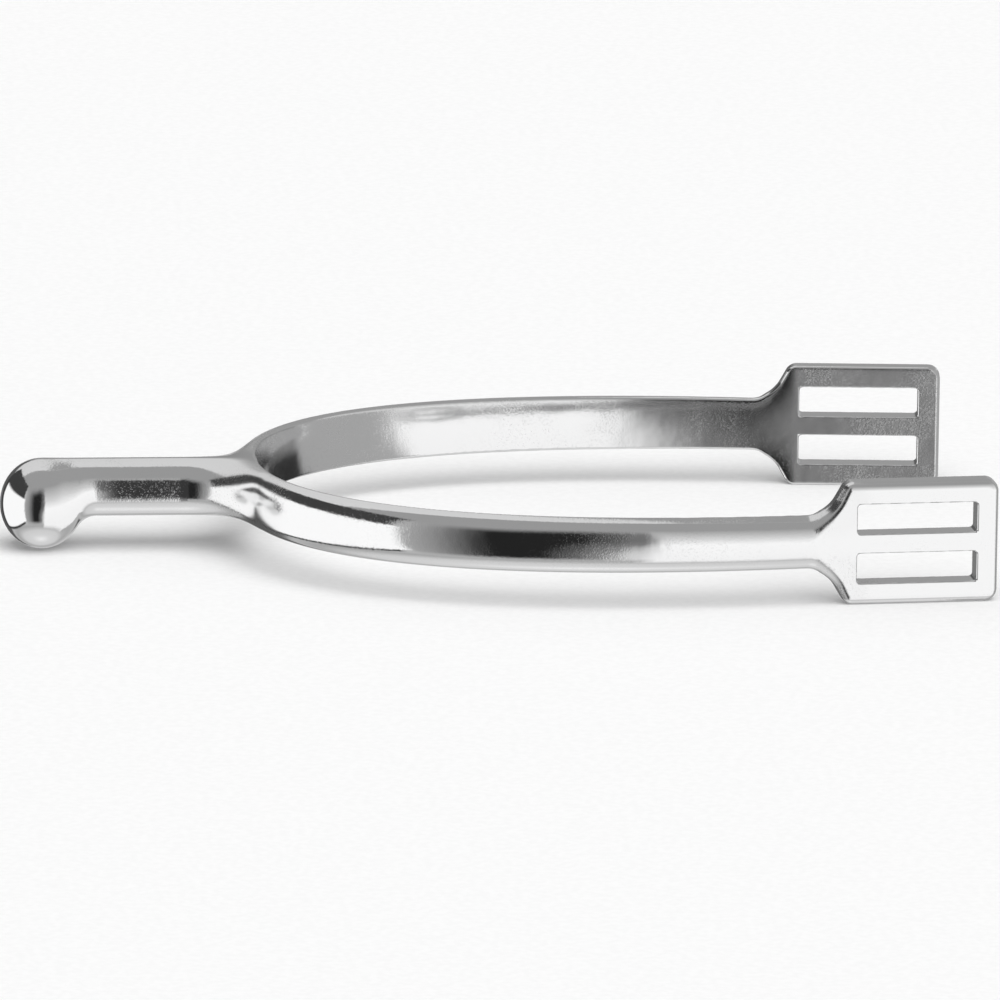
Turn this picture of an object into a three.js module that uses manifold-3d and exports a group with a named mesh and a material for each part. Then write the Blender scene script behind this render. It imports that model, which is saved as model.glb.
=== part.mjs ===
// English spur with a drop-knob neck: a half-round heel yoke, a round neck with a ball knob, and a
// two-slot strap plate on each branch. Millimetres, +Z up. The origin is the middle of the heel's inner
// face, +X runs forward along the branches, the neck points to -X and the XZ plane is the mirror plane.

import * as THREE from 'three';
import { mergeVertices, toCreasedNormals } from 'three/addons/utils/BufferGeometryUtils.js';
import Module from 'manifold-3d';

const wasm = await Module();
wasm.setup();

// Yoke: the curve of its inner face seen from above (a cubic Bezier), and its half-round section.
const HEEL_FLAT = 3; // width of the flat that bears on the boot at the back of the heel
const HEEL_HANDLE_Y = 16;
const BRANCH_HANDLE = new THREE.Vector2(11.5, 43.9);
const WELD = new THREE.Vector2(73, 36.2); // inner edge of the joint between branch and strap plate
const HEEL_SECTION = { height: 8.5, thickness: 3.4 };
const WELD_SECTION = { height: 7.5, thickness: 3.8 };
const INNER_CORNER = 0.7;
const EDGE_FLAT = 0.2; // flat left on the top and bottom edges between the corner and the round
const CROWN_FLAT = 0.1; // flat left along the middle of the half-round
const ROUND_POWER = 2.3; // 2 is an ellipse, more is fuller in the shoulders

// Neck and knob.
const NECK_RADIUS = 4.1;
const NECK_ROOT_X = -11.5; // where the round neck starts to spread into the yoke
const NECK_ROOT_FILLET = 10;
const NECK_ROOT_SWEEP = THREE.MathUtils.degToRad(73);
const NECK_ROOT_END_X = -1.2; // inside the yoke's wall
const KNOB_RADIUS = 6.4; // upright; the knob is slimmer along and across the neck
const KNOB_SLIM = 0.92;
const KNOB_X = -30.8;
const KNOB_Z = NECK_RADIUS - KNOB_RADIUS; // the knob is flush with the top of the neck
const KNOB_FILLET = 3.4;

// Strap plate, measured from its weld.
const PLATE = { height: 17.4, thickness: 3.4, length: 27.3 };
const PLATE_EDGE_ROUND = 1.3;
const PLATE_CORNER = 1.7;
const FLARE_FILLET = 5;
const FLARE_ANGLE = THREE.MathUtils.degToRad(60);
const PLATE_TOE_IN = THREE.MathUtils.degToRad(4.5);
const SLOT = { length: 17, height: 4.3, corner: 0.5, start: 7.2 };
const MIDDLE_BAR = 2.7;

// Facet counts.
const BRANCH_STEPS = 22;
const ROUND_STEPS = 8;
const CORNER_STEPS = 2;
const NECK_SIDES = 36;
const KNOB_STEPS = 12;
const FILLET_STEPS = 6;
const CREASE = THREE.MathUtils.degToRad(35);

// The branches lean in a little more than the plates; the flare of each plate takes up the bend.
const BRANCH_TOE_IN = Math.atan2(BRANCH_HANDLE.y - WELD.y, WELD.x - BRANCH_HANDLE.x);
const FLARE_BEND = BRANCH_TOE_IN - PLATE_TOE_IN;

// The solid between rings of points that all run the same way round, closed by a fan at each end.
function loft(rings, firstCentre, lastCentre) {
  const sides = rings[0].length;
  const points = [...rings.flat(), firstCentre, lastCentre];
  const first = points.length - 2;
  const last = points.length - 1;
  const index = [];
  for (let j = 0; j < sides; j++) {
    const k = (j + 1) % sides;
    index.push(first, k, j);
    index.push(last, first - sides + j, first - sides + k);
    for (let i = 0; i + 1 < rings.length; i++) {
      const a = i * sides;
      const b = a + sides;
      index.push(a + j, a + k, b + k);
      index.push(a + j, b + k, b + j);
    }
  }
  const geometry = new THREE.BufferGeometry().setFromPoints(points);
  geometry.setIndex(index);
  return geometry;
}

function middle(ring) {
  return ring.reduce((sum, point) => sum.add(point), new THREE.Vector3()).divideScalar(ring.length);
}

function toSolid(geometry) {
  const bare = geometry.clone();
  bare.deleteAttribute('normal');
  bare.deleteAttribute('uv');
  const merged = mergeVertices(bare);
  const vertProperties = new Float32Array(merged.attributes.position.array);
  const triVerts = new Uint32Array(merged.index.array);
  return new wasm.Manifold(new wasm.Mesh({ numProp: 3, vertProperties, triVerts }));
}

function toGeometry(solid) {
  const mesh = solid.getMesh();
  const geometry = new THREE.BufferGeometry();
  geometry.setAttribute('position', new THREE.BufferAttribute(mesh.vertProperties, 3));
  geometry.setIndex(new THREE.BufferAttribute(mesh.triVerts, 1));
  return geometry;
}

// A quarter superellipse as [along, up] pairs, from (depth, 0) to (0, rise).
function quarterRound(depth, rise, power, steps) {
  return Array.from({ length: steps + 1 }, (_, i) => {
    const angle = (i / steps) * (Math.PI / 2);
    return [depth * Math.cos(angle) ** (2 / power), rise * Math.sin(angle) ** (2 / power)];
  });
}

// Upper half of a bar's section as [out, up] pairs, from the outer face over the top to the inner face.
// The outer edge is rounded by a quarter superellipse, `depth` from front to back and `rise` tall.
function upperSection({ height, thickness, depth, rise }) {
  const half = height / 2;
  const outer = quarterRound(depth, rise, ROUND_POWER, ROUND_STEPS)
    .map(([out, up]) => [thickness - depth + out, half - rise + up]);
  const inner = quarterRound(INNER_CORNER, INNER_CORNER, 2, CORNER_STEPS).reverse()
    .map(([out, up]) => [INNER_CORNER - out, half - INNER_CORNER + up]);
  return [...outer, ...inner];
}

function barSection(shape) {
  const upper = upperSection(shape);
  const lower = upper.map(([out, up]) => [out, -up]).reverse();
  return [...upper, ...lower];
}

// The half-round section where the yoke is `share` of the way from the heel to the weld.
function halfRound(share) {
  const height = THREE.MathUtils.lerp(HEEL_SECTION.height, WELD_SECTION.height, share);
  const thickness = THREE.MathUtils.lerp(HEEL_SECTION.thickness, WELD_SECTION.thickness, share);
  return {
    height,
    thickness,
    depth: thickness - INNER_CORNER - EDGE_FLAT,
    rise: (height - CROWN_FLAT) / 2,
  };
}

function ellipseRing(x, halfWidth, top, bottom) {
  return Array.from({ length: NECK_SIDES }, (_, i) => {
    const angle = (i / NECK_SIDES) * 2 * Math.PI;
    const z = (top + bottom) / 2 + ((top - bottom) / 2) * Math.sin(angle);
    return new THREE.Vector3(x, halfWidth * Math.cos(angle), z);
  });
}

// One bar bent round the heel, from the right weld to the left weld.
function yokeBar() {
  const curve = new THREE.CubicBezierCurve(
    new THREE.Vector2(0, HEEL_FLAT / 2),
    new THREE.Vector2(0, HEEL_HANDLE_Y),
    BRANCH_HANDLE,
    WELD,
  );
  const left = [];
  const right = [];
  for (let i = 0; i <= BRANCH_STEPS; i++) {
    const share = i / BRANCH_STEPS;
    const at = curve.getPointAt(share);
    const along = curve.getTangentAt(share);
    const section = barSection(halfRound(share));
    left.push(section.map(([out, up]) => (
      new THREE.Vector3(at.x - along.y * out, at.y + along.x * out, up))));
    right.push(left.at(-1).map((point) => new THREE.Vector3(point.x, -point.y, point.z)));
  }
  const rings = [...right.reverse(), ...left];
  return loft(rings, middle(rings[0]), middle(rings.at(-1)));
}

// The neck's root spreads sideways on a fillet until it runs along the yoke's outer face.
function neckRoot() {
  const rings = [];
  for (let i = 0; i <= FILLET_STEPS; i++) {
    const angle = (i / FILLET_STEPS) * NECK_ROOT_SWEEP;
    const x = NECK_ROOT_X + NECK_ROOT_FILLET * Math.sin(angle);
    const halfWidth = NECK_RADIUS + NECK_ROOT_FILLET * (1 - Math.cos(angle));
    rings.push(ellipseRing(x, halfWidth, NECK_RADIUS, -NECK_RADIUS));
  }
  const spread = NECK_RADIUS + NECK_ROOT_FILLET * (1 - Math.cos(NECK_ROOT_SWEEP));
  rings.push(ellipseRing(NECK_ROOT_END_X, spread, NECK_RADIUS, -NECK_RADIUS));
  return loft(rings, middle(rings[0]), middle(rings.at(-1)));
}

function yoke() {
  return toGeometry(toSolid(yokeBar()).add(toSolid(neckRoot())));
}

// How far along a round knob's axis its fillet meets a line that is `offset` from the knob's centre.
function filletReach(offset) {
  return Math.sqrt((KNOB_RADIUS + KNOB_FILLET) ** 2 - (offset + KNOB_FILLET) ** 2);
}

// Distance from a round knob's axis to its surface, `ahead` of the centre: first the ball, then the
// fillet, then the straight neck, whose side is `offset` from that axis.
function ballAndNeck(ahead, offset) {
  const reach = filletReach(offset);
  const touch = (reach * KNOB_RADIUS) / (KNOB_RADIUS + KNOB_FILLET);
  if (ahead < touch) return Math.sqrt(KNOB_RADIUS ** 2 - ahead ** 2);
  if (ahead < reach) return offset + KNOB_FILLET - Math.sqrt(KNOB_FILLET ** 2 - (reach - ahead) ** 2);
  return offset;
}

const NECK_BELOW_KNOB_CENTRE = NECK_RADIUS + KNOB_Z;
const KNOB_END_X = KNOB_X + KNOB_SLIM * filletReach(NECK_BELOW_KNOB_CENTRE);

function knob() {
  const rings = [];
  for (let i = 1; i <= KNOB_STEPS; i++) {
    const angle = (i / KNOB_STEPS) * (Math.PI / 2);
    const radius = KNOB_RADIUS * Math.sin(angle);
    const x = KNOB_X - KNOB_SLIM * KNOB_RADIUS * Math.cos(angle);
    rings.push(ellipseRing(x, KNOB_SLIM * radius, KNOB_Z + radius, KNOB_Z - radius));
  }
  for (let i = 1; i <= KNOB_STEPS; i++) {
    const ahead = (i / KNOB_STEPS) * filletReach(NECK_BELOW_KNOB_CENTRE);
    const halfWidth = KNOB_SLIM * ballAndNeck(ahead, NECK_RADIUS / KNOB_SLIM);
    const bottom = KNOB_Z - ballAndNeck(ahead, NECK_BELOW_KNOB_CENTRE);
    rings.push(ellipseRing(KNOB_X + KNOB_SLIM * ahead, halfWidth, NECK_RADIUS, bottom));
  }
  const tip = new THREE.Vector3(KNOB_X - KNOB_SLIM * KNOB_RADIUS, 0, KNOB_Z);
  return loft(rings, tip, middle(rings.at(-1)));
}

function neck() {
  const rings = [KNOB_END_X, NECK_ROOT_X]
    .map((x) => ellipseRing(x, NECK_RADIUS, NECK_RADIUS, -NECK_RADIUS));
  return loft(rings, middle(rings[0]), middle(rings[1]));
}

// Half outline of the strap plate as [along, half height] pairs: a concave fillet, a straight ramp and
// a round corner where the plate flares from the branch, then a round corner at its free end.
function plateOutline() {
  const low = WELD_SECTION.height / 2;
  const high = PLATE.height / 2;
  const outline = [];
  for (let i = 0; i <= FILLET_STEPS; i++) {
    const angle = (i / FILLET_STEPS) * FLARE_ANGLE;
    outline.push([FLARE_FILLET * Math.sin(angle), low + FLARE_FILLET * (1 - Math.cos(angle))]);
  }
  const cornerDrop = PLATE_CORNER * (1 - Math.cos(FLARE_ANGLE));
  const [fromX, fromHeight] = outline.at(-1);
  const rampX = (high - cornerDrop - fromHeight) / Math.tan(FLARE_ANGLE);
  const flareEnd = fromX + rampX + PLATE_CORNER * Math.sin(FLARE_ANGLE);
  for (let i = 0; i <= FILLET_STEPS; i++) {
    const angle = (1 - i / FILLET_STEPS) * FLARE_ANGLE;
    outline.push([flareEnd - PLATE_CORNER * Math.sin(angle), high - PLATE_CORNER * (1 - Math.cos(angle))]);
  }
  for (let i = 0; i <= FILLET_STEPS; i++) {
    const angle = (i / FILLET_STEPS) * (Math.PI / 2);
    outline.push([
      PLATE.length - PLATE_CORNER * (1 - Math.sin(angle)),
      high - PLATE_CORNER * (1 - Math.cos(angle)),
    ]);
  }
  return { outline, flareEnd };
}

function slotCutter(centreZ) {
  const { length, height, corner, start } = SLOT;
  const reachX = length / 2 - corner;
  const reachY = height / 2 - corner;
  const shape = new THREE.Shape();
  shape.absarc(reachX, reachY, corner, 0, Math.PI / 2);
  shape.absarc(-reachX, reachY, corner, Math.PI / 2, Math.PI);
  shape.absarc(-reachX, -reachY, corner, Math.PI, 1.5 * Math.PI);
  shape.absarc(reachX, -reachY, corner, 1.5 * Math.PI, 2 * Math.PI);
  const depth = 3 * PLATE.thickness;
  const cutter = new THREE.ExtrudeGeometry(shape, { depth, bevelEnabled: false, curveSegments: 3 });
  cutter.translate(0, 0, -depth / 2);
  cutter.rotateX(Math.PI / 2);
  cutter.translate(start + length / 2, 0, centreZ);
  return cutter;
}

// A strap plate in its own frame: +X along the flat plate, +Y out from the boot, the weld at the origin.
function strapPlate() {
  const { outline, flareEnd } = plateOutline();
  const branch = halfRound(1);
  const rings = outline.map(([along, half]) => {
    const share = THREE.MathUtils.smoothstep(along, 0, flareEnd);
    const section = barSection({
      height: 2 * half,
      thickness: THREE.MathUtils.lerp(branch.thickness, PLATE.thickness, share),
      depth: THREE.MathUtils.lerp(branch.depth, PLATE_EDGE_ROUND, share),
      rise: THREE.MathUtils.lerp(branch.rise, PLATE_EDGE_ROUND, share),
    });
    const left = Math.max(0, 1 - along / flareEnd); // share of the bend still to come
    const lean = FLARE_BEND * left;
    const inset = (FLARE_BEND * flareEnd * (1 - left ** 2)) / 2;
    return section.map(([out, up]) => (
      new THREE.Vector3(along + out * Math.sin(lean), out * Math.cos(lean) - inset, up)));
  });
  const slotZ = (MIDDLE_BAR + SLOT.height) / 2;
  const blank = toSolid(loft(rings, middle(rings[0]), middle(rings.at(-1))));
  return toGeometry(blank.subtract(toSolid(slotCutter(slotZ))).subtract(toSolid(slotCutter(-slotZ))));
}

function steelMesh(name, geometry) {
  const material = new THREE.MeshStandardMaterial({ color: 0xd3d5d7, metalness: 1, roughness: 0.08 });
  const mesh = new THREE.Mesh(toCreasedNormals(geometry, CREASE), material);
  mesh.name = name;
  return mesh;
}

// The plates are alike: the right one is the left one turned over.
function placedPlate(name, side) {
  const plate = steelMesh(name, strapPlate());
  plate.rotation.x = side > 0 ? 0 : Math.PI;
  const holder = new THREE.Group();
  holder.position.set(WELD.x, side * WELD.y, 0);
  holder.rotation.z = -side * PLATE_TOE_IN;
  holder.add(plate);
  return holder;
}

const spur = new THREE.Group();
spur.add(
  steelMesh('knob', knob()),
  steelMesh('neck', neck()),
  steelMesh('yoke', yoke()),
  placedPlate('left_strap_plate', 1),
  placedPlate('right_strap_plate', -1),
);

export default spur;
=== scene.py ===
"""Looks for the English spur: one seamless mirror-polished surface, cut into the pieces of the frame.

The spur is one smooth solid, described by a field that is negative inside it and zero on its surface.
skin() turns a stretch of that surface into a fine mesh, and each piece is its stretch, cut off square
at the joints with its neighbours. The fields are in millimetres, in the frame's axes; they only know
the left half (y > 0), and the right half is its mirror image.
"""

import math
from itertools import combinations

import bmesh
import bpy
import numpy as np
from mathutils import Matrix, Vector


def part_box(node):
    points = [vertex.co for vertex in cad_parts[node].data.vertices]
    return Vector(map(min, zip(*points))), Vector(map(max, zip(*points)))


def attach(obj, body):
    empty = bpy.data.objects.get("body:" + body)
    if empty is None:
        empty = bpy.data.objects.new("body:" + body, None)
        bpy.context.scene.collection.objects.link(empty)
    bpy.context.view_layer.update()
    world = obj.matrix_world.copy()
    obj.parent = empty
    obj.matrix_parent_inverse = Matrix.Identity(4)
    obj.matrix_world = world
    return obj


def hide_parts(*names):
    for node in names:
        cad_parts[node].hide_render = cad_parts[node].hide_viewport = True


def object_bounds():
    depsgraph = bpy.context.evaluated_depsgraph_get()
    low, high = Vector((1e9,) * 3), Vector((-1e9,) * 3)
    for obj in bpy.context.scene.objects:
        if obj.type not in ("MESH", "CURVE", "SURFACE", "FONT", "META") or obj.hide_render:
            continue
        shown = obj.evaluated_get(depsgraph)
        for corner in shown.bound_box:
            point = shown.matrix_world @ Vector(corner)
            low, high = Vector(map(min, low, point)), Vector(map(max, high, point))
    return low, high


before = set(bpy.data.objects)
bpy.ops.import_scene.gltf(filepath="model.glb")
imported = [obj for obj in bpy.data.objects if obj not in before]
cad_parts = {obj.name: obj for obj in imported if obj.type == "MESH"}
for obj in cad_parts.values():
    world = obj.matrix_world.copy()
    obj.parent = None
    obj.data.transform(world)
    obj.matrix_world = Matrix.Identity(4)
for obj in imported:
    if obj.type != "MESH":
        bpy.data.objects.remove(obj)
CAD_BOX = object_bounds()
MM = 0.001


def box_mm(node):
    low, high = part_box(node)
    return low / MM, high / MM


KNOB_LOW, KNOB_HIGH = box_mm("knob")
NECK_LOW, NECK_HIGH = box_mm("neck")
YOKE_LOW, YOKE_HIGH = box_mm("yoke")
PLATE_LOW, PLATE_HIGH = box_mm("left_strap_plate")

# Knob and neck.
NECK_RADIUS = NECK_HIGH.z
NECK_START_X = NECK_LOW.x
ROOT_START_X = NECK_HIGH.x
KNOB_RADIUS = (KNOB_HIGH.z - KNOB_LOW.z) / 2
KNOB_Z = (KNOB_HIGH.z + KNOB_LOW.z) / 2
KNOB_SLIM = KNOB_HIGH.y / KNOB_RADIUS
KNOB_X = KNOB_LOW.x + KNOB_HIGH.y

# Yoke: the curve of its inner face seen from above (a cubic Bezier), and its half-round section.
HEEL_FLAT = 3.0
WELD_X = PLATE_LOW.x
WELD_Y = 36.2
CURVE = np.array([(0.0, HEEL_FLAT / 2), (0.0, 16.0), (11.5, 43.9), (WELD_X, WELD_Y)])
HEEL_HEIGHT = 2 * YOKE_HIGH.z
HEEL_THICKNESS = 3.4
WELD_HEIGHT = 7.5
WELD_THICKNESS = 3.8
INNER_CORNER = 0.5
EDGE_FLAT = 0.2
HEEL_CROWN = 0.55
WELD_CROWN = 0.2
ROUND_POWER = 2.3
CORNER_POWER = 2.4
ROOT_FILLET = 8.3

# Strap plate, in its own frame: u along the plate from the weld, v out from the boot.
PLATE_HEIGHT = 2 * PLATE_HIGH.z
PLATE_THICKNESS = 3.4
PLATE_LENGTH = 27.3
PLATE_EDGE_ROUND = 1.3
PLATE_CORNER = 1.7
PLATE_TOE_IN = math.radians(4.5)
FLARE_FILLET = 5.0
FLARE_ANGLE = math.radians(60)
FLARE_EASE = 2.5
SLOT_LENGTH = 17.0
SLOT_HEIGHT = 4.3
SLOT_START = 7.2
SLOT_CORNER = 0.5
SLOT_EDGE_ROUND = 0.15
MIDDLE_BAR = 2.7

# Mesh: the grid's cells, the passes that even it out, and how close points are merged and snapped.
CELL = 0.32
PLATE_CELL = 0.22
RELAX_PASSES = 3
MERGE_DISTANCE = 0.02
SNAP_DISTANCE = 0.05


def mix(a, b, share):
    return a + (b - a) * share


def smooth_step(share):
    share = np.clip(share, 0, 1)
    return share * share * (3 - 2 * share)


def round_max(a, b, radius, power=2.0):
    """Field of what two solids share, with the corner between them rounded off."""
    over_a = np.maximum(a + radius, 0)
    over_b = np.maximum(b + radius, 0)
    corner = (over_a**power + over_b**power) ** (1 / power)
    return np.minimum(np.maximum(a, b), -radius) + corner


def round_min(a, b, radius):
    """Field of two solids together, with a fillet between them."""
    return -round_max(-a, -b, radius)


def bezier_terms(points):
    """What the powers 0 to 3 of a cubic Bezier's parameter are multiplied by."""
    start, first, second, end = points
    cubic = end - 3 * second + 3 * first - start
    return start, 3 * (first - start), 3 * (second - 2 * first + start), cubic


C0, C1, C2, C3 = bezier_terms(CURVE)


def curve_at(t):
    """Point, first and second derivative of the inner face's curve."""
    t = np.asarray(t)[..., None]
    return C0 + t * (C1 + t * (C2 + t * C3)), C1 + t * (2 * C2 + 3 * t * C3), 2 * C2 + 6 * t * C3


# The curve's length up to each of its parameters, to tell the share of the way along it.
TABLE_T = np.linspace(0, 1, 401)
TABLE_STEPS = np.linalg.norm(np.diff(curve_at(TABLE_T)[0], axis=0), axis=1)
TABLE_LENGTH = np.concatenate([[0], np.cumsum(TABLE_STEPS)])

# Plan grid, 1 mm apart, of first guesses for nearest().
GUESS_MARGIN = 5
GUESS_TRIES = np.linspace(0, 1, 101)
GUESS_ORIGIN = np.array([math.floor(KNOB_LOW.x) - GUESS_MARGIN, 0])
GUESS_REACH = np.ceil([PLATE_HIGH.x, YOKE_HIGH.y]).astype(int) + GUESS_MARGIN
NEWTON_PASSES = 3
LEAST_BEND = 0.2


def first_guesses():
    """Of the tried parameters of the curve, the one nearest to each point of the plan grid."""
    count = GUESS_REACH - GUESS_ORIGIN
    grid = np.moveaxis(np.indices(count), 0, -1) + GUESS_ORIGIN
    t = np.zeros(count)
    best = np.full(count, np.inf)
    for guess in GUESS_TRIES:
        distance = ((grid - curve_at(guess)[0]) ** 2).sum(-1)
        t = np.where(distance < best, guess, t)
        best = np.minimum(best, distance)
    return t


GUESSES = first_guesses()


def nearest(plan):
    """The curve's parameter nearest to each point of the plan, held between 0 and 1."""
    cell = np.rint(plan - GUESS_ORIGIN).astype(int)
    t = GUESSES[cell[..., 0], cell[..., 1]]
    for _ in range(NEWTON_PASSES):
        point, first, second = curve_at(t)
        speed = (first * first).sum(-1)
        gap = point - plan
        bend = np.maximum(speed + (gap * second).sum(-1), LEAST_BEND * speed)
        t = np.clip(t - (gap * first).sum(-1) / bend, 0, 1)
    return t


def follow(x, side):
    """Where a plan point is against the inner face: (share of the way to the weld, distance out)."""
    x, side = np.broadcast_arrays(x, side)
    plan = np.stack([x, side], axis=-1).astype(float)
    t = nearest(plan)
    point, first, _ = curve_at(t)
    tangent = first / np.linalg.norm(first, axis=-1, keepdims=True)
    gap = plan - point
    out = gap[..., 1] * tangent[..., 0] - gap[..., 0] * tangent[..., 1]
    return np.interp(t, TABLE_T, TABLE_LENGTH / TABLE_LENGTH[-1]), out


def shank_side(ahead, offset):
    """Half width of the round shank, `ahead` of the knob's centre: ball, then a fillet that ends at the
    neck's start, then straight neck."""
    reach = (NECK_START_X - KNOB_X) / KNOB_SLIM
    radius = (reach**2 - KNOB_RADIUS**2 + offset**2) / (2 * (KNOB_RADIUS - offset))
    touch = reach * KNOB_RADIUS / (KNOB_RADIUS + radius)
    ball = np.sqrt(np.maximum(KNOB_RADIUS**2 - ahead**2, 0))
    fillet = offset + radius - np.sqrt(np.maximum(radius**2 - (reach - ahead) ** 2, 0))
    return np.where(ahead < touch, ball, np.where(ahead < reach, fillet, offset))


def shank_field(x, side, z):
    """Knob and neck: a ball behind the knob's centre, and elliptic sections ahead of it."""
    ahead = (x - KNOB_X) / KNOB_SLIM
    ball = np.sqrt(ahead**2 + (side / KNOB_SLIM) ** 2 + (z - KNOB_Z) ** 2) - KNOB_RADIUS
    ahead = np.maximum(ahead, 0)
    half_width = KNOB_SLIM * shank_side(ahead, NECK_RADIUS / KNOB_SLIM)
    bottom = KNOB_Z - shank_side(ahead, NECK_RADIUS + KNOB_Z)
    half_height = (NECK_RADIUS - bottom) / 2
    up = (z - (NECK_RADIUS + bottom) / 2) / half_height
    shank = half_height * (np.sqrt(up**2 + (side / half_width) ** 2) - 1)
    return np.where(x < KNOB_X, ball, shank)


def yoke_field(side, z, share, out):
    """The half-round bar and the neck's root, which spreads into its outer face on a plan fillet."""
    half_height = mix(HEEL_HEIGHT, WELD_HEIGHT, share) / 2
    thickness = mix(HEEL_THICKNESS, WELD_THICKNESS, share)
    from_neck = side - NECK_RADIUS
    from_bar = out - thickness
    plan = round_min(from_neck, from_bar, ROOT_FILLET)
    on_bar = smooth_step(0.5 + (from_neck - from_bar) / (2 * ROOT_FILLET))
    rise = mix(NECK_RADIUS, half_height, on_bar)
    power = mix(2, ROUND_POWER, on_bar)

    # The section rises from the plan's outline to its crest, which is the middle of the neck or the
    # inner edge of the bar. In the root the depth passes from the one's distance to the other's.
    neck_crest = -round_min(-NECK_RADIUS, from_bar, ROOT_FILLET)
    bar_crest = -round_min(from_neck, INNER_CORNER + EDGE_FLAT - thickness, ROOT_FILLET)
    depth = mix(neck_crest, bar_crest, on_bar)
    past_edge = np.maximum(1 + plan / depth, 0)
    outer = rise * (((np.abs(z) / rise) ** power + past_edge**power) ** (1 / power) - 1)
    crown = mix(HEEL_CROWN, WELD_CROWN, share)
    inner = crown * (z / half_height) ** 2 - out
    return round_max(outer, inner, INNER_CORNER, CORNER_POWER)


# The branches lean in a little more than the plates; the flare of each plate takes up the bend.
BRANCH_TOE_IN = math.atan2(CURVE[2][1] - WELD_Y, WELD_X - CURVE[2][0])
FLARE_BEND = BRANCH_TOE_IN - PLATE_TOE_IN
RAMP_START = FLARE_FILLET * math.tan(FLARE_ANGLE / 2)
RAMP_CORNER_RISE = PLATE_CORNER * math.tan(FLARE_ANGLE / 2)
FLARE_RISE = (PLATE_HEIGHT - WELD_HEIGHT) / 2
FLARE_END = RAMP_START + FLARE_RISE / math.tan(FLARE_ANGLE) + RAMP_CORNER_RISE


def oblique(radius):
    """The radius that round_max and round_min need where two lines meet at the flare's angle."""
    return radius * (1 - math.cos(FLARE_ANGLE))


def plate_outline(u, height):
    """Distance outside the plate's outline, seen from the side: strip, ramp, top and free end."""
    ramp = (height - WELD_HEIGHT / 2) * math.cos(FLARE_ANGLE) - (u - RAMP_START) * math.sin(FLARE_ANGLE)
    strip = height - WELD_HEIGHT / 2
    flare = mix(strip, round_min(ramp, strip, oblique(FLARE_FILLET)), smooth_step(u / FLARE_EASE))
    wide = round_max(flare, height - PLATE_HEIGHT / 2, oblique(PLATE_CORNER))
    return round_max(wide, u - PLATE_LENGTH, PLATE_CORNER)


def slot_outline(u, height):
    """Distance outside the slot: positive on the plate's metal."""
    beside = np.abs(u - SLOT_START - SLOT_LENGTH / 2) - SLOT_LENGTH / 2
    above = np.abs(height - (MIDDLE_BAR + SLOT_HEIGHT) / 2) - SLOT_HEIGHT / 2
    return round_max(beside, above, SLOT_CORNER)


def past_weld(x, side):
    """Place against the weld, in the branch's own directions: (distance onward, distance out)."""
    ahead, aside = x - WELD_X, side - WELD_Y
    along = ahead * math.cos(BRANCH_TOE_IN) - aside * math.sin(BRANCH_TOE_IN)
    out = ahead * math.sin(BRANCH_TOE_IN) + aside * math.cos(BRANCH_TOE_IN)
    return along, out


def plate_field(x, side, z):
    """Strap plate with its flare, which takes up the bend bit by bit, and both slots."""
    along, out = past_weld(x, side)
    bent = np.clip(along / FLARE_END, 0, 1)
    u = along + out * FLARE_BEND * bent
    out = out - FLARE_BEND * (along + FLARE_END * bent * (bent / 2 - 1))
    share = smooth_step(u / FLARE_END)
    thickness = mix(WELD_THICKNESS, PLATE_THICKNESS, share)
    rise = mix(WELD_HEIGHT / 2, PLATE_EDGE_ROUND, share)
    depth = mix(WELD_THICKNESS - INNER_CORNER - EDGE_FLAT, PLATE_EDGE_ROUND, share)
    height = np.abs(z)
    past_edge = np.maximum(1 + plate_outline(u, height) / rise, 0)
    past_face = np.maximum(1 + (out - thickness) / depth, 0)
    outer = rise * ((past_edge**ROUND_POWER + past_face**ROUND_POWER) ** (1 / ROUND_POWER) - 1)
    crown = mix(WELD_CROWN, 0, share) * (z / (WELD_HEIGHT / 2)) ** 2
    body = round_max(outer, crown - out, INNER_CORNER, CORNER_POWER)
    return round_max(body, -slot_outline(u, height), SLOT_EDGE_ROUND, CORNER_POWER)


def spur_field(x, y, z):
    """The whole spur: shank, yoke and plates, which agree where one takes over from another."""
    side = np.abs(y)
    share, out = follow(x, side)
    bar = yoke_field(side, z, share, out)
    field = np.where(past_weld(x, side)[0] > 0, plate_field(x, side, z), bar)
    return np.where(x < (NECK_START_X + ROOT_START_X) / 2, shank_field(x, side, z), field)


def slope(points):
    """Gradient of the field at each point."""
    half_step = 0.01
    columns = []
    for axis in np.eye(3):
        ahead = points + half_step * axis
        behind = points - half_step * axis
        columns.append((spur_field(*ahead.T) - spur_field(*behind.T)) / (2 * half_step))
    return np.stack(columns, axis=-1)


def onto_surface(points, cell, passes):
    """Points moved to where the field is zero, by no more than a cell in each pass."""
    for _ in range(passes):
        gradient = slope(points)
        steps = spur_field(*points.T) / (gradient**2).sum(-1)
        move = gradient * steps[:, None]
        length = np.linalg.norm(move, axis=1, keepdims=True)
        points = points - move * np.minimum(1, cell / np.maximum(length, 1e-9))
    return points


def relaxed(points, quads):
    """Each point moved halfway to the middle of its neighbours."""
    total = np.zeros_like(points)
    count = np.zeros(len(points))
    for a, b in zip(quads.T, np.roll(quads, -1, axis=1).T):
        for here, there in ((a, b), (b, a)):
            np.add.at(total, here, points[there])
            np.add.at(count, here, 1)
    return (points + total / count[:, None]) / 2


CORNERS = np.array([(i, j, k) for i in (0, 1) for j in (0, 1) for k in (0, 1)])
CELL_EDGES = [pair for pair in combinations(range(8), 2) if np.ptp(CORNERS[list(pair)], axis=0).sum() == 1]


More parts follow.
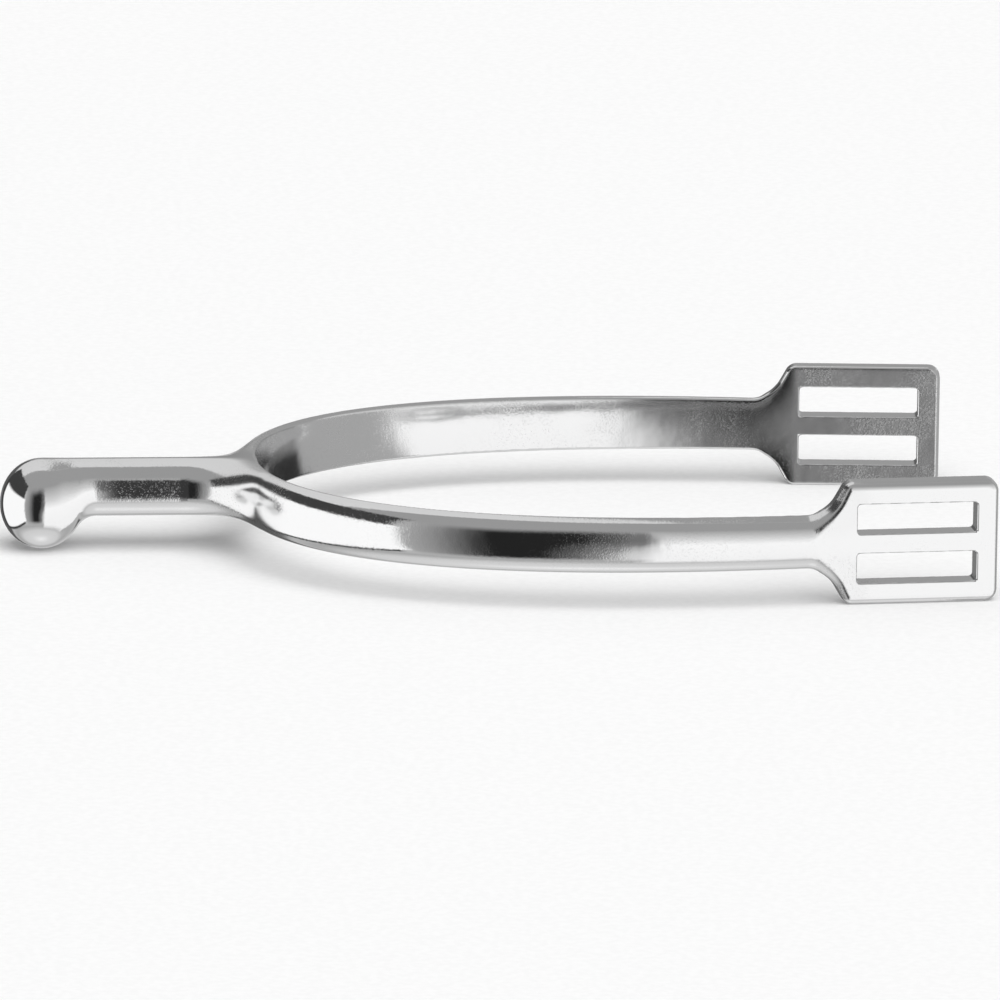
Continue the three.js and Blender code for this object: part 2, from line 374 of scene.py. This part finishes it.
def cell_points(values, cells):
    """The middle of the points where the surface crosses each cell's edges, in cells."""
    total = np.zeros(cells.shape)
    count = np.zeros(len(cells))
    for a, b in CELL_EDGES:
        value_a = values[tuple((cells + CORNERS[a]).T)]
        value_b = values[tuple((cells + CORNERS[b]).T)]
        crosses = (value_a < 0) != (value_b < 0)
        part = np.where(crosses, value_a / np.where(crosses, value_a - value_b, 1), 0)[:, None]
        total += crosses[:, None] * (CORNERS[a] + part * (CORNERS[b] - CORNERS[a]))
        count += crosses
    return cells + total / count[:, None]


def grid_quads(inside, number):
    """One quad round each grid edge that crosses the surface, facing out."""
    quads = []
    for axis in range(3):
        one, two = np.roll(np.eye(3, dtype=int), -axis, axis=0)[1:]
        ahead = np.roll(inside, -1, axis)
        crossing = np.argwhere(inside != ahead)
        limit = np.array(inside.shape) - 1
        fits = (crossing < limit).all(1) & (crossing - one - two >= 0).all(1)
        crossing = crossing[fits]
        ring = [crossing, crossing - one, crossing - one - two, crossing - two]
        quad = np.stack([number[tuple(cell.T)] for cell in ring], axis=1)
        leaves = inside[tuple(crossing.T)]
        quads.append(np.where(leaves[:, None], quad, quad[:, ::-1]))
    return np.concatenate(quads)


def skin(low, high, cell):
    """Points and quads of the spur's surface between two corners, by surface nets."""
    first = np.floor(np.array(low) / cell)
    last = np.ceil(np.array(high) / cell)
    x, y, z = [cell * np.arange(a, b + 1) for a, b in zip(first, last)]
    values = spur_field(x[:, None, None], y[None, :, None], z[None, None, :])
    inside = values < 0
    around = sum(
        inside[i:len(x) - 1 + i, j:len(y) - 1 + j, k:len(z) - 1 + k].astype(int) for i, j, k in CORNERS
    )
    cells = np.argwhere((around > 0) & (around < 8))
    number = np.full(inside.shape, -1)
    number[tuple(cells.T)] = np.arange(len(cells))
    points = (cell_points(values, cells) + first) * cell
    quads = grid_quads(inside, number)
    points = onto_surface(points, cell, passes=2)
    for _ in range(RELAX_PASSES):
        points = onto_surface(relaxed(points, quads), cell, passes=1)
    return onto_surface(points, cell, passes=1), quads


def cut_square(mesh, point, away):
    """Cuts the half of the mesh that holds `point` at a plane through it, drops what lies on the side
    that `away` points to, and caps the cut. A point on the mirror plane cuts both halves."""
    faces = [face for face in mesh.faces if face.calc_center_median().y * point.y >= 0]
    edges = {edge for face in faces for edge in face.edges}
    geometry = faces + list(edges) + list({vertex for edge in edges for vertex in edge.verts})
    found = bmesh.ops.bisect_plane(
        mesh, geom=geometry, dist=SNAP_DISTANCE * MM, plane_co=point, plane_no=away,
        use_snap_center=True, clear_outer=True,
    )
    rim = [item for item in found["geom_cut"] if isinstance(item, bmesh.types.BMEdge)]
    rim = [edge for edge in rim if edge.is_valid and edge.is_boundary]
    cap = bmesh.ops.contextual_create(mesh, geom=rim)["faces"]
    for edge in rim:
        edge.smooth = False
    return cap


def set_normals(mesh):
    """Gives the polished skin the solid's own normals; the flat caps keep theirs."""
    points = np.zeros(3 * len(mesh.vertices), np.float32)
    mesh.vertices.foreach_get("co", points)
    outward = slope(points.reshape(-1, 3).astype(float) / MM)
    outward /= np.linalg.norm(outward, axis=1, keepdims=True)
    corner_point = np.zeros(len(mesh.loops), np.int32)
    mesh.loops.foreach_get("vertex_index", corner_point)
    normals = outward[corner_point]
    for face in mesh.polygons:
        if not face.use_smooth:
            normals[face.loop_start:face.loop_start + face.loop_total] = face.normal
    mesh.normals_split_custom_set(normals.tolist())


def polished_piece(node, low, high, cell, cuts, material):
    """The looks of one node: its stretch of the skin, cut square at each (point, away) plane."""
    name = node + "_polished"
    points, quads = skin(low, high, cell)
    data = bpy.data.meshes.new(name)
    data.from_pydata((points * MM).tolist(), [], quads.tolist())
    mesh = bmesh.new()
    mesh.from_mesh(data)
    bmesh.ops.remove_doubles(mesh, verts=mesh.verts[:], dist=MERGE_DISTANCE * MM)
    for face in mesh.faces:
        face.smooth = True
    for point, away in cuts:
        for cap in cut_square(mesh, Vector(point) * MM, Vector(away)):
            cap.smooth = False
    bmesh.ops.delete(mesh, geom=[v for v in mesh.verts if not v.link_faces], context="VERTS")
    bmesh.ops.recalc_face_normals(mesh, faces=mesh.faces[:])
    mesh.to_mesh(data)
    mesh.free()
    set_normals(data)
    data.materials.append(material)
    piece = bpy.data.objects.new(name, data)
    bpy.context.scene.collection.objects.link(piece)
    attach(piece, "root")
    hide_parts(node)


def build_pieces(material):
    """All five pieces. Each is meshed in a box with room round it and some overlap past its cuts."""
    ahead = Vector((1, 0, 0))
    room = Vector((1, 1, 1))
    past_cut = Vector((1.5, 1, 1))
    neck_start = (NECK_START_X, 0, 0)
    root_start = (ROOT_START_X, 0, 0)
    welds = []
    for side in (1, -1):
        onward = Vector((math.cos(BRANCH_TOE_IN), -side * math.sin(BRANCH_TOE_IN), 0))
        welds.append(((WELD_X, side * WELD_Y, 0), onward))

    knob_cuts = [(neck_start, ahead)]
    polished_piece("knob", KNOB_LOW - room, KNOB_HIGH + past_cut, CELL, knob_cuts, material)
    neck_cuts = [(neck_start, -ahead), (root_start, ahead)]
    polished_piece("neck", NECK_LOW - past_cut, NECK_HIGH + past_cut, CELL, neck_cuts, material)
    yoke_cuts = [(root_start, -ahead), *welds]
    polished_piece("yoke", YOKE_LOW - past_cut, YOKE_HIGH + past_cut, CELL, yoke_cuts, material)
    for node, (point, onward) in zip(("left_strap_plate", "right_strap_plate"), welds):
        low, high = box_mm(node)
        polished_piece(node, low - past_cut, high + room, PLATE_CELL, [(point, -onward)], material)


# Steel, in millimetres: where the boot is and which faces are against it, and the spots that are
# polished less or rubbed in use, as (middle, reach).
BOOT_CENTRE = (60, 0, 0)
INNER_FACING = (0.35, 0.65)
INNER_START_X = (-3, -1)
HOLLOWS = (((-1, 10.5, 0), 11.5), ((77.5, 39, 6), 6))
RUBBED = tuple(((x, NECK_RADIUS, 0), 6) for x in (-19.5, -14, -8.5))
RUBBED_LEVEL = 0.85
FULL_SHARE = 0.6

# Marks in the polish: their depth in millimetres, how many there are to a metre, and the levels of
# their noise between which they fade in. Haze is where the scratches are, and tints the steel.
WAVE_DEPTH = 0.03
SCRATCH_DEPTH = 0.009
HAIRLINE_DEPTH = 0.001
WAVE_NOISE = 230
SCRATCH_NOISE = 3600
HAZE_NOISE = 90
HAIRLINE_NOISE = (360, 5400, 5400)
SCRATCH_LEVELS = (0.5, 0.65)
PATCH_LEVELS = (0.38, 0.60)
HAIRLINE_LEVELS = (0.55, 0.75)
HAZE_LEVELS = (0.35, 0.75)
TINTS = ((0.90, 0.90, 0.905, 1), (0.95, 0.95, 0.95, 1))
CLEAR_ROUGHNESS = (0.03, 0.07)
HAIRLINE_ROUGHNESS = 0.04
SCRATCH_ROUGHNESS = 0.14
INNER_ROUGHNESS = 0.08
HOLLOW_ROUGHNESS = 0.14


class Nodes:
    """Short calls for building a node tree."""

    def __init__(self, tree):
        self.tree = tree
        tree.nodes.clear()

    def new(self, kind, inputs=None, **settings):
        node = self.tree.nodes.new(kind)
        for name, value in settings.items():
            setattr(node, name, value)
        for socket, value in (inputs or {}).items():
            self.feed(node.inputs[socket], value)
        return node

    def feed(self, socket, value):
        if isinstance(value, bpy.types.NodeSocket):
            self.tree.links.new(value, socket)
        else:
            socket.default_value = value

    def math(self, operation, a, b=0.0):
        return self.new("ShaderNodeMath", {0: a, 1: b}, operation=operation).outputs[0]

    def vector(self, operation, *values):
        """Outputs of vector arithmetic: "Vector", or "Value" for a dot product or a distance."""
        return self.new("ShaderNodeVectorMath", dict(enumerate(values)), operation=operation).outputs

    def parts(self, vector):
        """The X, Y and Z of a vector."""
        return self.new("ShaderNodeSeparateXYZ", {0: vector}).outputs

    def ramp(self, value, low, high, to_low=0.0, to_high=1.0):
        """Smooth change from to_low to to_high while value goes from low to high (high may be less)."""
        if high < low:
            low, high, to_low, to_high = high, low, to_high, to_low
        inputs = {"Value": value, "From Min": low, "From Max": high, "To Min": to_low, "To Max": to_high}
        return self.new("ShaderNodeMapRange", inputs, interpolation_type="SMOOTHSTEP").outputs[0]

    def window(self, value, low, high, soft):
        """1 between low and high, 0 outside, changing over `soft` at each end."""
        rises = self.ramp(value, low - soft / 2, low + soft / 2)
        falls = self.ramp(value, high - soft / 2, high + soft / 2, 1.0, 0.0)
        return self.math("MULTIPLY", rises, falls)

    def patch(self, across, up, widths, heights):
        """1 in a soft-edged rectangle, 0 outside; `widths` and `heights` are (low, high, soft)."""
        return self.math("MULTIPLY", self.window(across, *widths), self.window(up, *heights))

    def product(self, first, *others):
        for other in others:
            first = self.math("MULTIPLY", first, other)
        return first

    def profile(self, value, stops):
        """A level that runs in straight lines between (value, level) stops."""
        low, high = stops[0][0], stops[-1][0]
        inputs = {"Value": value, "From Min": low, "From Max": high}
        share = self.new("ShaderNodeMapRange", inputs).outputs[0]
        node = self.new("ShaderNodeValToRGB", {0: share})
        elements = node.color_ramp.elements
        for position, _ in stops[1:-1]:
            elements.new((position - low) / (high - low))
        for element, (_, level) in zip(elements, stops):
            element.color = (level, level, level, 1)
        return self.new("ShaderNodeSeparateColor", {0: node.outputs["Color"]}).outputs[0]

    def mix(self, share, a, b):
        """a where share is 0 and b where it is 1."""
        inputs = {0: share, 2: a, 3: b}
        return self.new("ShaderNodeMix", inputs, data_type="FLOAT").outputs[0]

    def mix_colours(self, share, a, b):
        inputs = {0: share, 6: a, 7: b}
        return self.new("ShaderNodeMix", inputs, data_type="RGBA").outputs[2]

    def noise(self, vector, scale, detail=2.0):
        values = {"Vector": vector, "Scale": scale, "Detail": detail}
        return self.new("ShaderNodeTexNoise", values).outputs["Fac"]


def near_spots(nodes, place, spots):
    """1 close to the spots, on either side of the spur and above or below, and 0 out of their reach."""
    x, y, z = nodes.parts(place)
    inputs = {0: x, 1: nodes.math("ABSOLUTE", y), 2: nodes.math("ABSOLUTE", z)}
    from_planes = nodes.new("ShaderNodeCombineXYZ", inputs).outputs[0]
    found = 0.0
    for middle, reach in spots:
        away = nodes.vector("DISTANCE", from_planes, Vector(middle) * MM)["Value"]
        near = nodes.ramp(away, reach * MM, FULL_SHARE * reach * MM)
        found = nodes.math("MAXIMUM", near, found)
    return found


def inner_face(nodes, place):
    """1 where the steel faces the boot, 0 elsewhere."""
    to_boot = nodes.vector("SUBTRACT", Vector(BOOT_CENTRE) * MM, place)["Vector"]
    to_boot = nodes.vector("NORMALIZE", to_boot)["Vector"]
    normal = nodes.new("ShaderNodeNewGeometry").outputs["Normal"]
    facing = nodes.ramp(nodes.vector("DOT_PRODUCT", normal, to_boot)["Value"], *INNER_FACING)
    past_heel = nodes.ramp(nodes.parts(place)["X"], *(x * MM for x in INNER_START_X))
    return nodes.product(facing, past_heel)


def steel_normal(nodes, waves, scratches, hairlines):
    """The normal over the marks in the polish."""
    height = 0.0
    for mark, depth in ((waves, WAVE_DEPTH), (scratches, SCRATCH_DEPTH), (hairlines, HAIRLINE_DEPTH)):
        height = nodes.math("ADD", nodes.product(mark, depth * MM), height)
    return nodes.new("ShaderNodeBump", {"Height": height, "Strength": 1.0, "Distance": 1.0}).outputs[0]


def steel_roughness(nodes, place, haze, scratched, hairlines):
    """A clear mirror, with a haze on the hairlines, the scratches, the inner faces and the hollows."""
    inner = inner_face(nodes, place)
    hollow = nodes.product(near_spots(nodes, place, HOLLOWS), nodes.math("SUBTRACT", 1.0, inner))
    drawn = nodes.ramp(hairlines, *HAIRLINE_LEVELS)
    roughness = nodes.ramp(haze, *HAZE_LEVELS, *CLEAR_ROUGHNESS)
    for where, amount in (
        (drawn, HAIRLINE_ROUGHNESS), (scratched, SCRATCH_ROUGHNESS),
        (inner, INNER_ROUGHNESS), (hollow, HOLLOW_ROUGHNESS),
    ):
        roughness = nodes.math("ADD", roughness, nodes.product(where, amount))
    return roughness


def polished_steel():
    """Mirror-polished stainless steel: faint waves left by the wheel, hairlines, and fine scratches in
    patches and on the sides of the neck. The faces against the boot are polished less."""
    material = bpy.data.materials.new("polished_steel")
    material.use_nodes = True
    nodes = Nodes(material.node_tree)
    place = nodes.new("ShaderNodeTexCoord").outputs["Object"]
    stretched = nodes.new("ShaderNodeMapping", {"Vector": place, "Scale": HAIRLINE_NOISE}).outputs[0]
    waves = nodes.noise(place, WAVE_NOISE)
    scratches = nodes.noise(place, SCRATCH_NOISE)
    hairlines = nodes.noise(stretched, 1.0, 4.0)
    haze = nodes.noise(place, HAZE_NOISE, 4.0)

    rubbed = nodes.product(near_spots(nodes, place, RUBBED), RUBBED_LEVEL)
    patches = nodes.math("MAXIMUM", nodes.ramp(haze, *PATCH_LEVELS), rubbed)
    scratched = nodes.product(nodes.ramp(scratches, *SCRATCH_LEVELS), patches)
    shader = nodes.new("ShaderNodeBsdfPrincipled", {
        "Base Color": nodes.mix_colours(haze, *TINTS),
        "Metallic": 1.0,
        "Roughness": steel_roughness(nodes, place, haze, scratched, hairlines),
        "Normal": steel_normal(nodes, waves, nodes.product(scratches, patches), hairlines),
    })
    nodes.new("ShaderNodeOutputMaterial", {"Surface": shader.outputs[0]})
    return material


# Camera, set up to match the photograph: VIEW_DISTANCE from the frame's origin, turned and raised
# about it, and aimed at VIEW_TARGET. Degrees and millimetres.
VIEW_AZIMUTH = -4.55
VIEW_ELEVATION = 13.03
VIEW_ROLL = 0.633
VIEW_DISTANCE = 2532.0
VIEW_TARGET = Vector((33.99, 0.0, -2.35))
VIEW_LENS = 646.8


def view_directions():
    """Unit vectors at the spur: towards the camera, and up its picture."""
    azimuth, elevation, roll = (math.radians(a) for a in (VIEW_AZIMUTH, VIEW_ELEVATION, VIEW_ROLL))
    back = Vector((
        math.sin(azimuth) * math.cos(elevation),
        -math.cos(azimuth) * math.cos(elevation),
        math.sin(elevation),
    ))
    level = Vector((math.cos(azimuth), math.sin(azimuth), 0))
    up = math.cos(roll) * back.cross(level) - math.sin(roll) * level
    return back, up


def add_camera():
    back, up = view_directions()
    place = back * VIEW_DISTANCE
    axis_z = (place - VIEW_TARGET).normalized()
    axis_x = up.cross(axis_z).normalized()
    axis_y = axis_z.cross(axis_x)
    data = bpy.data.cameras.new("camera")
    data.sensor_width = 36
    data.lens = VIEW_LENS
    data.clip_start = 0.1
    data.clip_end = 100
    camera = bpy.data.objects.new("camera", data)
    turn = Matrix((axis_x, axis_y, axis_z)).transposed().to_4x4()
    camera.matrix_world = Matrix.Translation(place * MM) @ turn
    bpy.context.scene.collection.objects.link(camera)
    bpy.context.scene.camera = camera


# Studio that the steel mirrors. Angles are in degrees as seen from the spur: `turn` is 0 towards the
# camera, 90 to its right and -90 to its left; `lift` is above the horizon; `over` is 0 level towards
# the camera, 90 overhead and 180 level behind. Levels are brightnesses, 1 for white. A patch of the
# studio is (low, high, soft) in turn and the same in lift.
BACKDROP = 1.0
WHITE = 1.03
CEILING = 0.33
SKY_BY_OVER = ((90, CEILING), (96, CEILING), (99, 0.68), (156, 0.66), (165, 0.30), (180, 0.26))
SKY_START = (96, 99)
SKY_RIGHT_END = (0.11, 0.15)
FLOOR_LIFT = (-100, 0, 4)
FLOOR_BY_LIFT = ((-90, 0.90), (-75, 0.70), (-60, 0.64), (-48, 0.40), (-30, 0.60), (0, 0.60))

# The gap the camera stands in. It leans: its right edge lies further right the higher it is.
FRONT_TURN = (-50, 14, 3)
FRONT_BOTTOM = (-46, -33)
FRONT_TOP = (44, 20)
FRONT_BY_TURN = (
    (-50, 0.52), (-44, 0.37), (-36, 0.28), (-29, 0.15), (-24, 0.055), (-20, 0.018), (-7, 0.018),
    (-1, 0.12), (4, 0.22), (8, 0.60), (12, 0.80),
)
LEAN_BY_LIFT = (-26, 10, -3, 5)
LEAN_START = (-20, -5)

# Boxes beside and behind the spur.
RIGHT_BOX = ((9, 95, 4), (-54, 48, 4))
RIGHT_BOX_BY_LIFT = ((-55, 0.55), (-45, 0.95), (-5, 1.0), (12, 0.70), (25, 0.55), (48, CEILING))
REAR_RIGHT = ((100, 150, 8), (-38, 16, 8))
REAR_RIGHT_BY_LIFT = ((-40, 0.45), (-33, 0.03), (-15, 0.03), (-9, 0.22), (8, 0.25), (20, 0.5))
REAR_LEFT = ((-172, -132, 8), (-38, 20, 6))
REAR_LEFT_LEVEL = 0.10
REAR_RIM = ((150, 200, 8), (-15, -5, 3))
REAR_RIM_LEVEL = 0.2

# The left softbox is a flat panel in a dark surround. Their patches are tangents on its wall.
LEFT_BOX_TURN = -88
SURROUND = ((-1.5, 0.74, 0.08), (-1.03, 1.12, 0.12))
SURROUND_LEVEL = 0.05
PANEL = ((-0.98, 0.86, 0.16), (-0.88, 0.30, 0.10))


class Direction:
    """A direction seen from the spur, as sockets of the studio's measures."""

    def __init__(self, nodes, vector):
        self.nodes = nodes
        self.vector = vector
        self.up = nodes.parts(vector)["Z"]
        self.turn = self.degrees("ARCTAN2", self.along(90), self.along(0))
        self.over = self.degrees("ARCTAN2", self.up, self.along(0))
        self.lift = self.degrees("ARCSINE", self.up)

    def along(self, turn):
        """How far the direction points towards a level turn."""
        angle = math.radians(VIEW_AZIMUTH + turn)
        level = (math.sin(angle), -math.cos(angle), 0)
        return self.nodes.vector("DOT_PRODUCT", self.vector, level)["Value"]

    def degrees(self, operation, *values):
        return self.nodes.math("MULTIPLY", self.nodes.math(operation, *values), 180 / math.pi)


def sky_light(nodes, seen):
    """Ceiling and, behind it, a bright sky. The sky ends at the right where the face that mirrors it
    to the camera turns right: that face's normal is halfway between the direction and the camera."""
    toward = nodes.math("ADD", seen.along(0), math.cos(math.radians(VIEW_ELEVATION)))
    face_turn = nodes.math("DIVIDE", seen.along(90), nodes.math("MAXIMUM", toward, 0.01))
    past_sky = nodes.product(nodes.ramp(face_turn, *SKY_RIGHT_END), nodes.ramp(seen.over, *SKY_START))
    return nodes.mix(past_sky, nodes.profile(seen.over, SKY_BY_OVER), CEILING)


def with_front(nodes, seen, light):
    """The light with the camera's gap in it."""
    lean = nodes.product(nodes.ramp(seen.lift, *LEAN_BY_LIFT), nodes.ramp(seen.turn, *LEAN_START))
    turn = nodes.math("SUBTRACT", seen.turn, lean)
    top = nodes.math("SUBTRACT", seen.lift, lean)
    bottom_fade = nodes.ramp(seen.lift, *FRONT_BOTTOM)
    front = nodes.product(nodes.window(seen.turn, *FRONT_TURN), bottom_fade, nodes.ramp(top, *FRONT_TOP))
    return nodes.mix(front, light, nodes.profile(turn, FRONT_BY_TURN))


def with_left_softbox(nodes, seen, light):
    facing = nodes.math("MAXIMUM", seen.along(LEFT_BOX_TURN), 0.01)
    aside = nodes.math("DIVIDE", seen.along(LEFT_BOX_TURN + 90), facing)
    height = nodes.math("DIVIDE", seen.up, facing)
    light = nodes.mix(nodes.patch(aside, height, *SURROUND), light, SURROUND_LEVEL)
    return nodes.mix(nodes.patch(aside, height, *PANEL), light, WHITE)


def studio_light(nodes, direction):
    """What the steel mirrors from a direction."""
    seen = Direction(nodes, direction)
    light = sky_light(nodes, seen)
    floor = nodes.window(seen.lift, *FLOOR_LIFT)
    light = nodes.mix(floor, light, nodes.profile(seen.lift, FLOOR_BY_LIFT))
    light = with_front(nodes, seen, light)
    right = nodes.patch(seen.turn, seen.lift, *RIGHT_BOX)
    light = nodes.mix(right, light, nodes.profile(seen.lift, RIGHT_BOX_BY_LIFT))
    rear_right = nodes.patch(seen.turn, seen.lift, *REAR_RIGHT)
    light = nodes.mix(rear_right, light, nodes.profile(seen.lift, REAR_RIGHT_BY_LIFT))
    light = nodes.mix(nodes.patch(seen.turn, seen.lift, *REAR_LEFT), light, REAR_LEFT_LEVEL)
    rim = nodes.patch(nodes.math("ABSOLUTE", seen.turn), seen.lift, *REAR_RIM)
    light = nodes.mix(rim, light, REAR_RIM_LEVEL)
    return with_left_softbox(nodes, seen, light)


def add_world():
    """The studio for everything but the camera, which sees a plain white backdrop."""
    world = bpy.data.worlds.new("studio")
    bpy.context.scene.world = world
    world.use_nodes = True
    nodes = Nodes(world.node_tree)
    direction = nodes.new("ShaderNodeTexCoord").outputs["Generated"]
    mirrored = studio_light(nodes, direction)
    seen = nodes.new("ShaderNodeLightPath").outputs["Is Camera Ray"]
    light = nodes.mix(seen, mirrored, BACKDROP)
    background = nodes.new("ShaderNodeBackground", {"Color": light})
    nodes.new("ShaderNodeOutputWorld", {"Surface": background.outputs[0]})


def rectangle(name, low, high, height):
    """Mesh of one level face between two (x, y) corners."""
    (left, bottom), (right, top) = low, high
    corners = [(left, bottom, height), (right, bottom, height), (right, top, height), (left, top, height)]
    data = bpy.data.meshes.new(name)
    data.from_pydata(corners, [], [(0, 1, 2, 3)])
    return data


FLOOR_REACH = 10
FLOOR_GRAIN_NOISE = 900
FLOOR_SHADES = (0.90, 0.93)


def add_floor():
    """A pale floor under the knob and the plates. The steel mirrors the studio, not it."""
    data = rectangle("floor", (-FLOOR_REACH, -FLOOR_REACH), (FLOOR_REACH, FLOOR_REACH), CAD_BOX[0].z)
    material = bpy.data.materials.new("pale_floor")
    material.use_nodes = True
    nodes = Nodes(material.node_tree)
    place = nodes.new("ShaderNodeTexCoord").outputs["Object"]
    grain = nodes.noise(place, FLOOR_GRAIN_NOISE)
    shade = nodes.ramp(grain, 0.3, 0.7, *FLOOR_SHADES)
    shader = nodes.new("ShaderNodeBsdfPrincipled", {"Base Color": shade, "Roughness": 0.9})
    nodes.new("ShaderNodeOutputMaterial", {"Surface": shader.outputs[0]})
    data.materials.append(material)
    floor = bpy.data.objects.new("floor", data)
    bpy.context.scene.collection.objects.link(floor)
    floor.visible_glossy = False


def seen_from(nodes):
    """How far ahead on the spur the ray starts that sees this surface, in metres."""
    here = nodes.new("ShaderNodeNewGeometry").outputs
    length = nodes.new("ShaderNodeLightPath").outputs["Ray Length"]
    start = nodes.vector("MULTIPLY_ADD", here["Incoming"], length, here["Position"])["Vector"]
    return nodes.parts(start)["X"]


def card_material(name, limits, grey):
    """A plain grey that is clear outside its limits: pairs of what to measure on the card's nodes, and
    where it starts, is full, stops being full and ends, in millimetres."""
    material = bpy.data.materials.new(name)
    material.use_nodes = True
    nodes = Nodes(material.node_tree)
    share = 1.0
    for measure, (start, full, full_end, end) in limits:
        value = measure(nodes)
        rise = nodes.ramp(value, start * MM, full * MM)
        fall = nodes.ramp(value, end * MM, full_end * MM)
        share = nodes.product(rise, fall, share)
    light = nodes.new("ShaderNodeEmission", {"Color": (grey, grey, grey, 1)})
    clear = nodes.new("ShaderNodeBsdfTransparent")
    shader = nodes.new("ShaderNodeMixShader", {0: share, 1: clear.outputs[0], 2: light.outputs[0]})
    nodes.new("ShaderNodeOutputMaterial", {"Surface": shader.outputs[0]})
    return material


def on_card(axis):
    """Measures how far along one of the card's own axes a point is."""
    return lambda nodes: nodes.parts(nodes.new("ShaderNodeTexCoord").outputs["Object"])[axis]


def add_card(name, place, turn, sides, heights, viewers, grey):
    """An upright card that only the steel's mirror images show. `sides` and `heights` are its limits,
    from `place`, and `viewers` are the limits of the stretch of the spur that sees it."""
    low = (sides[0] * MM, heights[0] * MM)
    high = (sides[3] * MM, heights[3] * MM)
    data = rectangle(name, low, high, 0)
    limits = ((on_card("X"), sides), (on_card("Y"), heights), (seen_from, viewers))
    data.materials.append(card_material(name, limits, grey))
    card = bpy.data.objects.new(name, data)
    card.location = place
    card.rotation_euler = (math.radians(90), 0, math.radians(turn))
    bpy.context.scene.collection.objects.link(card)
    card.visible_camera = False
    card.visible_diffuse = False
    card.visible_shadow = False


def add_cards():
    """A grey card beyond the toe ends, for the inner faces, and a dark one in front, for the neck."""
    add_card(
        "grey_card", place=(CAD_BOX[1].x + 10 * MM, 0, 0), turn=90,
        sides=(-42, -30, 47, 59), heights=(-106, -94, 18, 30), viewers=(-100, -90, 190, 200), grey=0.38,
    )
    add_card(
        "dark_card", place=(0, -1, 0), turn=0,
        sides=(-260, -200, 80, 150), heights=(-1500, -500, 640, 830), viewers=(-26, -20, 0, 4), grey=0.04,
    )


def add_key_light():
    """A broad soft light overhead for the floor and its shadows, not mirrored by the steel."""
    data = bpy.data.lights.new("key_light", "SUN")
    data.energy = 2.5
    data.angle = math.radians(70)
    light = bpy.data.objects.new("key_light", data)
    light.rotation_euler = (math.radians(25), math.radians(10), 0)
    light.visible_glossy = False
    bpy.context.scene.collection.objects.link(light)


build_pieces(polished_steel())
add_camera()
add_world()
add_floor()
add_cards()
add_key_light()
bpy.context.scene.view_settings.view_transform = "Standard"
